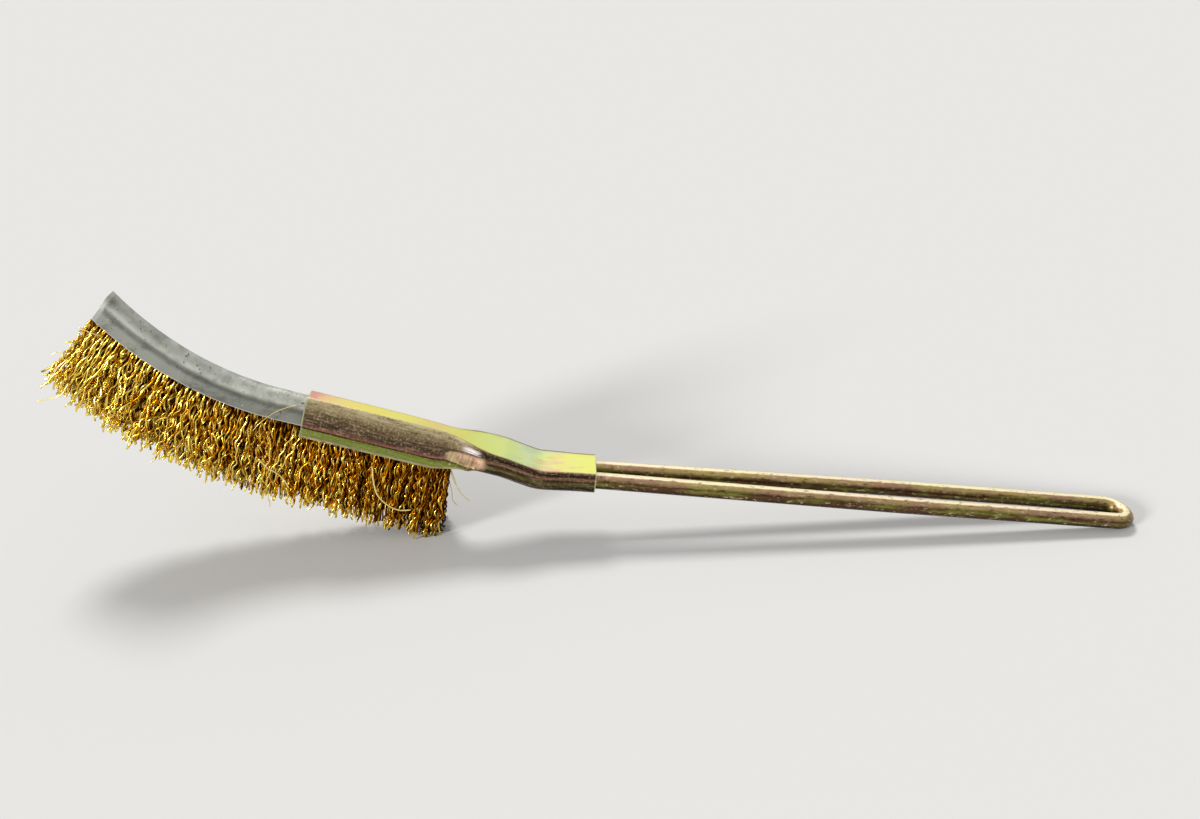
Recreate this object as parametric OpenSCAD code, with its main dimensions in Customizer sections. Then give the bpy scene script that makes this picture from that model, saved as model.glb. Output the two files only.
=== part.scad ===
// Curved brass wire hand brush.
// One hairpin of round wire is the handle. A folded sheet sleeve clamps its two ends to a
// bent strip: a rolled channel whose brass bristles are folded over a core wire.
// The brush stands on the loop of its handle and on the heel of its bristles.

/* [Handle wire] */
// Diameter of the handle wire
wire_d = 3.0; // [2.6:0.1:3.6]
// Clear gap between the two legs at the loop
loop_gap = 2.8; // [2.2:0.1:6]
// Clear gap between the two legs in the sleeve
throat_gap = 1.0; // [0.6:0.1:1.6]
// Length from the middle of the loop's bend to the sleeve
handle_l = 98; // [70:1:130]
// Length over which the legs leave the loop side by side
parallel_l = 42; // [20:1:60]

/* [Crank] */
// Length of the legs from the sleeve's mouth to the first bend
grip_l = 10.5; // [8:0.5:14]
// Distance between the two bends
crank_l = 6.5; // [5:0.5:9]
// Angle by which the crank rises from the handle
crank_angle = 18.4; // [14:0.2:22]
// Radius of the two bends at the middle of the wire
crank_r = 8; // [7:0.5:11]
// Length of the legs past the second bend
tail_l = 4.5; // [3:0.5:6]
// Room between the ends of the legs and the strip
tail_gap = 4.2; // [3.4:0.2:6]

/* [Strip] */
// Angle between the handle and the straight part of the strip
strip_angle = 11.2; // [8:0.2:13]
// Width of the channel's round back
channel_w = 3.5; // [3.4:0.1:4.2]
// Height of the channel
channel_h = 4.75; // [4.5:0.05:5.2]
// Width of the channel at its mouth
skirt_w = 4.4; // [4:0.1:5]
// Width of the channel's waist, below the round back
waist_w = 2.9; // [2.8:0.05:3.1]
// Height of the waist above the mouth
waist_h = 2.05; // [1.6:0.05:2.1]
// Sheet thickness of the channel
channel_t = 0.4; // [0.3:0.05:0.45]
// How far the mouth lies below the line of the wires
mouth_drop = 2.15; // [1.9:0.05:2.4]
// Length of the straight part
straight_l = 30.6; // [28:0.2:40]
// Radius of the curved part, at the channel's mouth
curve_r = 49.5; // [44:0.5:80]
// Angle of the curved part
curve_angle = 39; // [20:1:42]
// Diameter of the core wire
core_d = 1.2; // [1:0.1:1.4]

/* [Sleeve] */
// Sheet thickness of the sleeve
sleeve_t = 0.5; // [0.4:0.05:0.6]
// Length of the strip that the sleeve covers
cover_l = 26; // [22:0.5:27.5]
// Outer corner radius where the sleeve wraps the legs
sleeve_corner_r = 1.2; // [1:0.05:1.5]
// How far each side of the sleeve stands out past the channel's mouth
side_swell = 0.3; // [0.1:0.05:0.5]
// Outer shoulder radius where the sleeve covers the strip
shoulder_r = 2.0; // [1.6:0.1:2.2]
// Height of the crease above the channel's mouth
crease_up = 0.75; // [0.5:0.05:1]
// How much wider the sleeve is pressed on each side of the crank
crank_spread = 0.3; // [0:0.05:0.5]
// How far each flange stands out
flange_w = 1.1; // [0.6:0.1:1.4]
// How far each flange hangs below the channel
flange_h = 1.15; // [0.7:0.05:1.4]
// Gap between the sheet's two edges under the legs
seam_gap = 0.3; // [0.2:0.1:0.8]
// Depth of the crimp in each side between the legs and the strip
crimp_depth = 0.55; // [0.2:0.05:0.7]

/* [Bristles] */
// Length of the bristles at the heel, from the channel's mouth
heel_bristle_l = 16.4; // [12:0.2:20]
// Length of the bristles at the toe
toe_bristle_l = 14.2; // [10:0.2:18]
// How much wider the bristles stand at their tips than in the channel
splay = 2.5; // [1.6:0.1:2.8]
// How far the tips lean out past the heel
heel_lean = 0.7; // [0:0.1:1.4]
// How far the tips lean back from the toe
toe_lean = 3.2; // [0:0.1:4]
// Bare end of the channel past the last bristles
toe_bare_l = 1.2; // [0.4:0.1:3]
// Height of the crimp wave in each strand
crimp_wave = 0.35; // [0.1:0.05:0.5]
// Most that a strand falls short of its full length
tip_scatter = 0.9; // [0:0.1:1.5]
// How much the floor trims off the lowest strands
floor_cut = 0.5; // [0.3:0.1:1]

/* [Fits] */
// Gap between pieces that are pressed together
fit_gap = 0.08; // [0.05:0.01:0.12]
// Room round the core wire in the folded bristles
core_gap = 0.16; // [0.14:0.01:0.2]
// Extra room behind the folded bristles
fold_gap = 0.07; // [0.05:0.01:0.12]
// Gap between neighbouring sections of bristles
section_gap = 0.1; // [0.06:0.02:0.2]

/* [Hidden] */
SECTIONS = 10;
COLUMNS = 5;
ROWS = 4;
$fn = 48;
cut = 1;

// Handle wire, in a frame with the loop's centre at zero and the legs running along -X
wire_r = wire_d / 2;
loop_r = loop_gap / 2 + wire_r;
leg_y = throat_gap / 2 + wire_r;
converge_l = norm([handle_l - parallel_l, loop_r - leg_y]);
converge_angle = asin((loop_r - leg_y) / converge_l);
rise_tangent = crank_r * tan(crank_angle / 2);
fall_angle = crank_angle - strip_angle;
fall_tangent = crank_r * tan(fall_angle / 2);

// A place on the centre line of the sleeve is [x, z, angle above -X]
function ahead(p, l) = [p[0] - l * cos(p[2]), p[1] + l * sin(p[2]), p[2]];
function bent(p, angle, r) = [
    p[0] + r * (sin(p[2]) - sin(p[2] + angle)),
    p[1] + r * (cos(p[2]) - cos(p[2] + angle)),
    p[2] + angle
];
mouth = [-handle_l, 0, 0];
rise_start = ahead(mouth, grip_l - rise_tangent);
rise_end = bent(rise_start, crank_angle, crank_r);
fall_start = ahead(rise_end, crank_l - rise_tangent - fall_tangent);
fall_end = bent(fall_start, -fall_angle, -crank_r);
leg_end = ahead(fall_end, tail_l - fall_tangent);
heel = ahead(leg_end, tail_gap);

// Strip, in a frame with its heel end at zero, on the line of the wires, running along -X
core_h = channel_h - channel_w / 2;
core_up = core_h - mouth_drop;
line_curve_r = curve_r - mouth_drop;
strip_l = straight_l + curve_r * curve_angle * PI / 180;
core_inset = 0.4;

// A point at s along the channel's mouth, y across it and d below it
function turn_at(s) = max(0, s - straight_l) / curve_r * 180 / PI;
function on_strip(s, y, d) = s <= straight_l
    ? [-s, y, -mouth_drop - d]
    : [-straight_l - (curve_r + d) * sin(turn_at(s)), y, line_curve_r - (curve_r + d) * cos(turn_at(s))];

// The handle's tilt puts the loop and the trimmed heel of the bristles on the floor
heel_tip = on_strip(-heel_lean, 0, heel_bristle_l - floor_cut);
heel_tip_x = heel[0] + heel_tip[0] * cos(strip_angle) + heel_tip[2] * sin(strip_angle);
heel_tip_z = heel[1] - heel_tip[0] * sin(strip_angle) + heel_tip[2] * cos(strip_angle);
stance = loop_r - heel_tip_x;
tilt = atan2(-heel_tip_z, stance) - asin(wire_r / norm([stance, heel_tip_z]));
loop_z = loop_r * sin(tilt) + wire_r;
strip_tilt = tilt + strip_angle;
heel_x = heel[0] * cos(tilt) + heel[1] * sin(tilt);
heel_z = loop_z - heel[0] * sin(tilt) + heel[1] * cos(tilt);
function height(p) = heel_z - p[0] * sin(strip_tilt) + p[2] * cos(strip_tilt);
function reach(p) = heel_x + p[0] * cos(strip_tilt) + p[2] * sin(strip_tilt);
function to_floor(s) = height(on_strip(s, 0, 0)) / cos(strip_tilt + turn_at(s));

module stand() translate([loop_x, 0, loop_z]) rotate([0, tilt, 0]) children();
module at_strip() stand() translate([heel[0], 0, heel[1]]) rotate([0, strip_angle, 0]) children();

// ---- Handle wire ----
module straight(l) {
    rotate([0, -90, 0]) cylinder(h = l, d = wire_d);
    translate([-l, 0, 0]) children();
}

// A bend to the right of the way ahead, turned about it by roll
module bend(angle, r, roll) {
    rotate([roll, 0, 0]) translate([0, -r, 0]) {
        rotate([0, 0, 90]) rotate_extrude(angle = angle) translate([r, 0]) circle(d = wire_d);
        rotate([0, 0, angle]) translate([0, r, 0]) rotate([-roll, 0, 0]) children();
    }
}

// A straight length whose ends are cut at an angle, so that two of them meet in a slight bend
module mitred(l, from, to) {
    block = [2 * l, 2 * wire_d, 2 * wire_d];
    intersection() {
        translate([wire_d, 0, 0]) rotate([0, -90, 0]) cylinder(h = l + 2 * wire_d, d = wire_d);
        rotate([0, 0, from]) translate([-block[0], -wire_d, -wire_d]) cube(block);
        translate([-l, 0, 0]) rotate([0, 0, to]) translate([0, -wire_d, -wire_d]) cube(block);
    }
    translate([-l, 0, 0]) rotate([0, 0, 2 * to]) children();
}

module leg()
    translate([0, loop_r, 0])
    mitred(parallel_l, 0, converge_angle / 2)
    mitred(converge_l, -converge_angle / 2, -converge_angle / 2)
    mitred(grip_l - rise_tangent, converge_angle / 2, 0)
    bend(crank_angle, crank_r, -90)
    straight(crank_l - rise_tangent - fall_tangent)
    bend(fall_angle, crank_r, 90)
    straight(tail_l - fall_tangent);

module handle_wire() color("#b3a468") stand() {
    rotate([0, 0, -90]) rotate_extrude(angle = 180) translate([loop_r, 0]) circle(d = wire_d);
    leg();
    mirror([0, 1, 0]) leg();
}

// ---- Clamp sleeve ----
// Half of the sheet's middle line from the top centre to its edge, as [across, up]
half_w = leg_y + wire_r + fit_gap + sleeve_t / 2;
half_h = wire_r + fit_gap + sleeve_t / 2;
wrap_r = sleeve_corner_r - sleeve_t / 2;
wrap_line = concat(
    [for (i = [0:2]) [(half_w - wrap_r) * i / 3, half_h]],
    [for (a = [0:30:90]) [half_w - wrap_r + wrap_r * sin(a), half_h - wrap_r + wrap_r * cos(a)]],
    [[half_w, 0], [half_w, wrap_r - half_h]],
    [for (a = [45, 90]) [half_w - wrap_r + wrap_r * cos(a), wrap_r - half_h - wrap_r * sin(a)]],
    [[(half_w - wrap_r) / 2, -half_h], [seam_gap / 2, -half_h]]
);
back_h = core_up + channel_w / 2 + fit_gap + sleeve_t / 2;
pinch_w = skirt_w / 2 + fit_gap + sleeve_t / 2;
side_w = pinch_w + side_swell;
bend_r = shoulder_r - sleeve_t / 2;
crease_h = mouth_drop - crease_up;
head_line = concat(
    [for (i = [0:2]) [(side_w - bend_r) * i / 3, back_h]],
    [for (a = [0:30:90]) [side_w - bend_r + bend_r * sin(a), back_h - bend_r + bend_r * cos(a)]],
    [[side_w, -crease_h / 2], [side_w, -crease_h]],
    [for (f = [[0, 0], [0.12, 0.32], [0.5, 0.72], [1, 1]])
        [pinch_w + flange_w * f[0], -mouth_drop - flange_h * f[1]]]
);
head_lead = 0.1;
HALF = len(head_line) - 1;
EDGE_FROM = 9;
SIDE_FROM = 5;
SIDE_TO = 8;

function ease(x) = let (c = max(0, min(1, x))) c * c * (3 - 2 * c);
function mixed(a, b, w) = a * (1 - w) + b * w;
function turned(tri, flip) = flip ? [tri[0], tri[2], tri[1]] : tri;

// A station is [place, share of the head's shape, share of the flange's shape, crimp, spread]
function station(p, x, spread = 0) = [
    p, ease(x), ease(1.8 * x), crimp_depth * max(0, 1 - pow(2.4 * (x - 0.5), 2)), crank_spread * spread
];
stations = concat(
    [for (f = [0, 0.3]) station(ahead(mouth, (grip_l - rise_tangent) * f), 0)],
    [for (f = [0.55, 0.8, 1]) station(ahead(mouth, (grip_l - rise_tangent) * f), 0, ease(2 * f - 1))],
    [for (f = [0.2:0.2:1]) station(bent(rise_start, crank_angle * f, crank_r), 0, 1)],
    [for (f = [0:0.5:1]) station(bent(fall_start, -fall_angle * f, -crank_r), 0, 1)],
    [for (f = [0:0.1:1]) station(ahead(leg_end, (tail_gap - head_lead) * f), f, 1 - ease(1.5 * f))],
    [for (f = [0.5, 1]) station(ahead(heel, cover_l * f), 1)]
);

// The sheet's middle line at a station, from its left edge over the top to its right edge
function half_point(i, st) = let (
    p = mixed(wrap_line[i], head_line[i], i < EDGE_FROM ? st[1] : st[2]),
    dent = i >= SIDE_FROM && i <= SIDE_TO ? st[3] * sin(180 * (i - SIDE_FROM + 1) / (SIDE_TO - SIDE_FROM + 2)) : 0
) [p[0] * (1 + st[4] / half_w) - dent, p[1]];
function middle_line(st) = concat(
    [for (i = [HALF:-1:1]) let (p = half_point(i, st)) [-p[0], p[1]]],
    [for (i = [0:HALF]) half_point(i, st)]
);
LINE = 2 * HALF + 1;
function across(line, i) = let (
    d = line[min(i + 1, LINE - 1)] - line[max(i - 1, 0)]
) [-d[1], d[0]] / norm(d);
function placed(p, st) = [
    st[0][0] + p[1] * sin(st[0][2]),
    p[0],
    st[0][1] + p[1] * cos(st[0][2])
];
function sheet_ring(st) = let (line = middle_line(st)) concat(
    [for (i = [0:LINE - 1]) placed(line[i] + across(line, i) * sleeve_t / 2, st)],
    [for (i = [LINE - 1:-1:0]) placed(line[i] - across(line, i) * sleeve_t / 2, st)]
);
RING = 2 * LINE;

module clamp_sleeve() color("#8f8a3c") stand() polyhedron(
    points = [for (st = stations) each sheet_ring(st)],
    faces = concat(
        [for (k = [0:len(stations) - 2], i = [0:RING - 1], t = [0, 1]) let (
            a = k * RING + i, b = k * RING + (i + 1) % RING
        ) t == 0 ? [a, b + RING, b] : [a, a + RING, b + RING]],
        [for (end = [0, len(stations) - 1], i = [0:LINE - 2], t = [0, 1]) let (
            o = end * RING + i, n = end * RING + RING - 1 - i,
            tri = t == 0 ? [o, n, n - 1] : [o, n - 1, o + 1]
        ) turned(tri, end == 0)]
    )
);

// ---- Strip channel and core wire ----
// A profile drawn with X up from the line of the wires and Y across, carried along the strip
module along_strip(inset) {
    turn = curve_angle - inset / line_curve_r * 180 / PI;
    translate([-inset, 0, 0]) rotate([0, -90, 0]) linear_extrude(straight_l - inset) children();
    translate([-straight_l, 0, line_curve_r]) rotate([-90, 0, 0]) rotate([0, 0, 90])
        rotate_extrude(angle = turn) translate([line_curve_r, 0]) mirror([1, 0]) children();
}

// The round back and the two flat sides below it, drawn in by wall all round
module keyhole(wall, below) {
    waist_y = waist_w / 2 - wall;
    mouth_y = skirt_w / 2 - wall;
    mouth_x = -mouth_drop;
    side = [[mouth_x + below, mouth_y], [mouth_x, mouth_y], [mouth_x + waist_h, waist_y], [core_up, waist_y]];
    translate([core_up, 0]) circle(d = channel_w - 2 * wall);
    polygon(concat(side, [for (i = [3:-1:0]) [side[i][0], -side[i][1]]]));
}

module channel_profile() difference() {
    keyhole(0, 0);
    keyhole(channel_t, -cut);
}

module strip_channel() color("#b9bbb8") at_strip() along_strip(0) channel_profile();

module core_wire() color("#8d8f90") at_strip() along_strip(core_inset)
    translate([core_up, 0]) circle(d = core_d);

// ---- Bristles ----
// Each section is a slice of the folded bristles round the core wire, with its strands. The
// slice's underside is a lattice of triangles, and one strand grows out of each triangle.
root_w = skirt_w - 2 * channel_t - 2 * fit_gap;
fold_r = channel_w / 2 - channel_t - fit_gap - fold_gap;
fold_waist = [waist_w / 2 - channel_t - fit_gap, waist_h - core_h];
core_room = (core_d / 2 + core_gap) / cos(30);
section_l = (strip_l - toe_bare_l) / SECTIONS;
RING_AT = [0.34, 0.67, 1];
WAVE = [1, -1, 0.8];
STRAND_SIZE = 0.42;
LATTICE = (COLUMNS + 1) * (ROWS + 1);
STRANDS = 2 * COLUMNS * ROWS;

function root(k, i, j) = [
    k * section_l + section_gap / 2 + (section_l - section_gap) * i / COLUMNS,
    root_w * (j / ROWS - 0.5)
];
// Corners of the root triangle of strand q, as [column, row]
function corners(q) = let (
    half = q % 2, i = floor(q / 2 / ROWS), j = floor(q / 2) % ROWS, flip = (i + j) % 2
) half == 0
    ? (flip == 0 ? [[i, j], [i + 1, j], [i + 1, j + 1]] : [[i, j], [i + 1, j], [i, j + 1]])
    : (flip == 0 ? [[i, j], [i + 1, j + 1], [i, j + 1]] : [[i + 1, j], [i + 1, j + 1], [i, j + 1]]);
function lattice_id(c) = c[0] * (ROWS + 1) + c[1];

function strand_points(k, q, scatter) = let (
    tri = [for (c = corners(q)) root(k, c[0], c[1])],
    mid = (tri[0] + tri[1] + tri[2]) / 3,
    share = mid[0] / strip_l,
    full = mixed(heel_bristle_l, toe_bristle_l, share) - tip_scatter * scatter[q],
    lean = heel_lean * pow(1 - share, 4) + toe_lean * pow(share, 4)
) [for (m = [0:2], v = tri) let (
    s = mid[0] - lean * RING_AT[m] + crimp_wave * WAVE[m] + STRAND_SIZE * (v[0] - mid[0]),
    y = mid[1] * (1 + (splay - 1) * RING_AT[m]) + STRAND_SIZE * (v[1] - mid[1])
) on_strip(s, y, min(full * RING_AT[m], to_floor(s)))];

fold_line = concat(
    [fold_waist],
    [for (a = [0:45:180]) fold_r * [cos(a), sin(a)]],
    [[-fold_waist[0], fold_waist[1]]]
);
core_line = [for (a = [-90:60:210]) core_room * [cos(a), sin(a)]];
FOLD = len(fold_line);
CORE = len(core_line);

// The ends of a slice: its outline, and the side of the core hole that each edge of it faces
function outline_ids(end) = concat(
    [for (j = [0:ROWS]) lattice_id([end * COLUMNS, j])],
    [for (i = [0:FOLD - 1]) fold_id(end, i)]
);
function fold_id(end, i) = LATTICE + 9 * STRANDS + end * (FOLD + CORE) + i;
function core_id(end, i) = fold_id(end, FOLD) + i % CORE;
OUTLINE = ROWS + 1 + FOLD;
FACES_CORE = [6, 6, 0, 0, 1, 1, 2, 3, 3, 4, 5, 5];

module bristle_section(k) {
    scatter = rands(0, 1, STRANDS, 40 + k);
    ends = [root(k, 0, 0)[0], root(k, COLUMNS, 0)[0]];
    points = concat(
        [for (i = [0:COLUMNS], j = [0:ROWS]) let (r = root(k, i, j)) on_strip(r[0], r[1], 0)],
        [for (q = [0:STRANDS - 1]) each strand_points(k, q, scatter)],
        [for (s = ends, p = concat(fold_line, core_line)) on_strip(s, p[0], -core_h - p[1])]
    );
    strands = [for (q = [0:STRANDS - 1]) let (
        c = [for (x = corners(q)) lattice_id(x)],
        first = LATTICE + 9 * q
    ) each concat(
        [for (m = [0:2], v = [0:2], t = [0, 1]) let (
            n = (v + 1) % 3,
            a = m == 0 ? c[v] : first + 3 * (m - 1) + v,
            b = m == 0 ? c[n] : first + 3 * (m - 1) + n,
            a2 = first + 3 * m + v,
            b2 = first + 3 * m + n
        ) t == 0 ? [a, b2, b] : [a, a2, b2]],
        [[first + 6, first + 8, first + 7]]
    )];
    caps = [for (end = [0, 1], i = [0:OUTLINE - 1]) let (
        o = outline_ids(end), n = (i + 1) % OUTLINE, f = FACES_CORE[i], g = FACES_CORE[n]
    ) each concat(
        [turned([o[i], o[n], core_id(end, f)], end == 0)],
        f % CORE == g % CORE ? [] : [turned([o[n], core_id(end, g), core_id(end, f)], end == 0)]
    )];
    back = [for (i = [0:FOLD - 2], t = [0, 1]) let (a = fold_id(0, i), b = fold_id(1, i))
        t == 0 ? [a, b + 1, b] : [a, a + 1, b + 1]];
    bore = [for (i = [0:CORE - 1], t = [0, 1]) let (
        a = core_id(0, i), a2 = core_id(0, i + 1), b = core_id(1, i), b2 = core_id(1, i + 1)
    ) t == 0 ? [a, b, b2] : [a, b2, a2]];
    sides = [for (side = [0, 1]) let (j = side * ROWS, top = side == 0 ? FOLD - 1 : 0) each concat(
        [for (i = [0:COLUMNS - 1]) turned(
            [lattice_id([i, j]), lattice_id([i + 1, j]), fold_id(0, top)], side == 1)],
        [turned([lattice_id([COLUMNS, j]), fold_id(1, top), fold_id(0, top)], side == 1)]
    )];
    color("#c99a33") at_strip() polyhedron(points, concat(strands, caps, back, bore, sides));
}

// The object's box is centred over the origin
toe_scatter = rands(0, 1, STRANDS, 40 + SECTIONS - 1);
toe_x = min([for (q = [0:STRANDS - 1], p = strand_points(SECTIONS - 1, q, toe_scatter)) reach(p)]);
loop_x = -(toe_x + loop_r * cos(tilt) + wire_r) / 2;

handle_wire();
clamp_sleeve();
strip_channel();
core_wire();
bristle_section(0);  // bristles_01
bristle_section(1);  // bristles_02
bristle_section(2);  // bristles_03
bristle_section(3);  // bristles_04
bristle_section(4);  // bristles_05
bristle_section(5);  // bristles_06
bristle_section(6);  // bristles_07
bristle_section(7);  // bristles_08
bristle_section(8);  // bristles_09
bristle_section(9);  // bristles_10
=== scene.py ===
# Curved brass wire hand brush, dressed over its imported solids. Sizes here are in millimetres and are
# turned into the scene's metres as each mesh is made.
import math
import random

import bmesh
import bpy
from mathutils import Matrix, Vector


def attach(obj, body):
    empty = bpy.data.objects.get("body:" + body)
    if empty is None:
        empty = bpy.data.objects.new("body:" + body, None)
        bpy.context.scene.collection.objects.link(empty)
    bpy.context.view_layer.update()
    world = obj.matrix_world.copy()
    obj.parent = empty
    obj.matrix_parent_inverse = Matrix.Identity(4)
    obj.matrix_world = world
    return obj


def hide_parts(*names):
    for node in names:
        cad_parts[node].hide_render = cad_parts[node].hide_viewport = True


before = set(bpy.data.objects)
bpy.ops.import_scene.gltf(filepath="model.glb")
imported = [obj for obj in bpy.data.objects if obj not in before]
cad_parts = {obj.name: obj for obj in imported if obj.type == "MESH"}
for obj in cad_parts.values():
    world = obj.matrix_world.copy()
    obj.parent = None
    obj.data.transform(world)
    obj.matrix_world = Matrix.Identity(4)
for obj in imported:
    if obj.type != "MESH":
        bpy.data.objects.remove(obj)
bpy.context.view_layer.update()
mm = 0.001
print("frame loaded:", len(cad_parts), "nodes")


# node trees: a wrapped socket, so that shader maths reads as maths
class Value:
    def __init__(self, tree, socket):
        self.tree = tree
        self.socket = socket

    def maths(self, operation, *values, clamp=False):
        settings = {"operation": operation, "use_clamp": clamp}
        return self.tree.add("ShaderNodeMath", settings, dict(enumerate(values)))

    def __add__(self, other):
        return self.maths("ADD", self, other)

    def __radd__(self, other):
        return self.maths("ADD", other, self)

    def __sub__(self, other):
        return self.maths("SUBTRACT", self, other)

    def __rsub__(self, other):
        return self.maths("SUBTRACT", other, self)

    def __mul__(self, other):
        return self.maths("MULTIPLY", self, other)

    def __rmul__(self, other):
        return self.maths("MULTIPLY", other, self)

    def __truediv__(self, other):
        return self.maths("DIVIDE", self, other)

    def __rtruediv__(self, other):
        return self.maths("DIVIDE", other, self)

    def __pow__(self, other):
        return self.maths("POWER", self, other)

    def __neg__(self):
        return self.maths("MULTIPLY", self, -1.0)

    def sin(self):
        return self.maths("SINE", self)

    def cos(self):
        return self.maths("COSINE", self)

    def atLeast(self, other):
        return self.maths("MAXIMUM", self, other)

    def atMost(self, other):
        return self.maths("MINIMUM", self, other)

    def clamped(self):
        return self.maths("ADD", self, 0.0, clamp=True)

    def between(self, low, high):  # 0 at low, 1 at high, eased
        settings = {"interpolation_type": "SMOOTHSTEP"}
        return self.tree.add("ShaderNodeMapRange", settings, {0: self, 1: low, 2: high, 3: 0.0, 4: 1.0})


class Tree:
    def __init__(self, tree):
        self.tree = tree

    def add(self, kind, settings=None, sockets=None, out=0):
        node = self.tree.nodes.new(kind)
        for name, setting in (settings or {}).items():
            if name == "stops":
                self.setStops(node.color_ramp, setting)
            else:
                setattr(node, name, setting)
        for key, value in (sockets or {}).items():
            if isinstance(value, Value):
                self.tree.links.new(value.socket, node.inputs[key])
            else:
                node.inputs[key].default_value = value
        return Value(self, node.outputs[out]) if node.outputs else None

    def setStops(self, ramp, stops):
        while len(ramp.elements) < len(stops):
            ramp.elements.new(0.5)
        for element, (place, colour) in zip(ramp.elements, stops):
            element.position = place
            element.color = colour

    def noise(self, place, scale, detail, roughness):
        sockets = {"Vector": place, "Scale": scale, "Detail": detail, "Roughness": roughness}
        return self.add("ShaderNodeTexNoise", {}, sockets)

    def stretched(self, place, scale):
        return self.add("ShaderNodeMapping", {}, {"Vector": place, "Scale": scale})

    def turned(self, place, degrees):  # about Y, so that X runs along a tilted piece
        rotation = (0.0, math.radians(-degrees), 0.0)
        return self.add("ShaderNodeMapping", {}, {"Vector": place, "Rotation": rotation})

    def mix(self, share, first, second):  # a colour is a socket or a text such as "c8a040"
        first, second = (rgb(c) if isinstance(c, str) else c for c in (first, second))
        return self.add("ShaderNodeMix", {"data_type": "RGBA"}, {0: share, 6: first, 7: second}, out=2)

    def parts(self, vector):
        node = self.add("ShaderNodeSeparateXYZ", {}, {0: vector}).socket.node
        return [Value(self, socket) for socket in node.outputs]

    def ramp(self, share, stops):
        stops = [(place, rgb(text)) for place, text in stops]
        return self.add("ShaderNodeValToRGB", {"stops": stops}, {0: share})

    def attribute(self, name):
        return self.add("ShaderNodeAttribute", {"attribute_name": name}, out="Fac")

    def feed(self, value, node, socket):
        self.tree.links.new(value.socket, node.inputs[socket])


def rgb(text):  # a screen colour such as "c8a040", as linear light
    def linear(c):
        return c / 12.92 if c <= 0.04045 else ((c + 0.055) / 1.055) ** 2.4
    return tuple(linear(int(text[i:i + 2], 16) / 255) for i in (0, 2, 4)) + (1.0,)


def newFinish(name, constants):
    material = bpy.data.materials.new(name)
    material.use_nodes = True
    tree = Tree(material.node_tree)
    shader = material.node_tree.nodes["Principled BSDF"]
    for socket, value in constants.items():
        shader.inputs[socket].default_value = value
    return material, tree, shader


def dress(tree, shader, bump, **values):
    names = {"colour": "Base Color", "roughness": "Roughness", "metallic": "Metallic"}
    for name, value in values.items():
        tree.feed(value, shader, names[name])
    sockets = dict(zip(("Height", "Strength", "Distance"), bump))
    tree.feed(tree.add("ShaderNodeBump", {}, sockets), shader, "Normal")


# where things are: the same sizes as the solids, in millimetres and degrees
brush = {
    "loopX": 91.4818, "loopZ": 1.78194, "tilt": 5.57916, "stripAngle": 11.2,
    "heelX": -123.202, "heelZ": 3.74156, "wireR": 1.5, "loopR": 2.9, "legY": 2.0,
    "handle": 98.0, "parallel": 42.0, "grip": 10.5, "crank": 6.5, "crankAngle": 18.4, "crankR": 8.0,
    "tail": 4.5, "tailGap": 4.2, "straight": 30.6, "curveR": 49.5, "curveAngle": 39.0,
    "mouthDrop": 2.15, "coreUp": 0.85,
}


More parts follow.
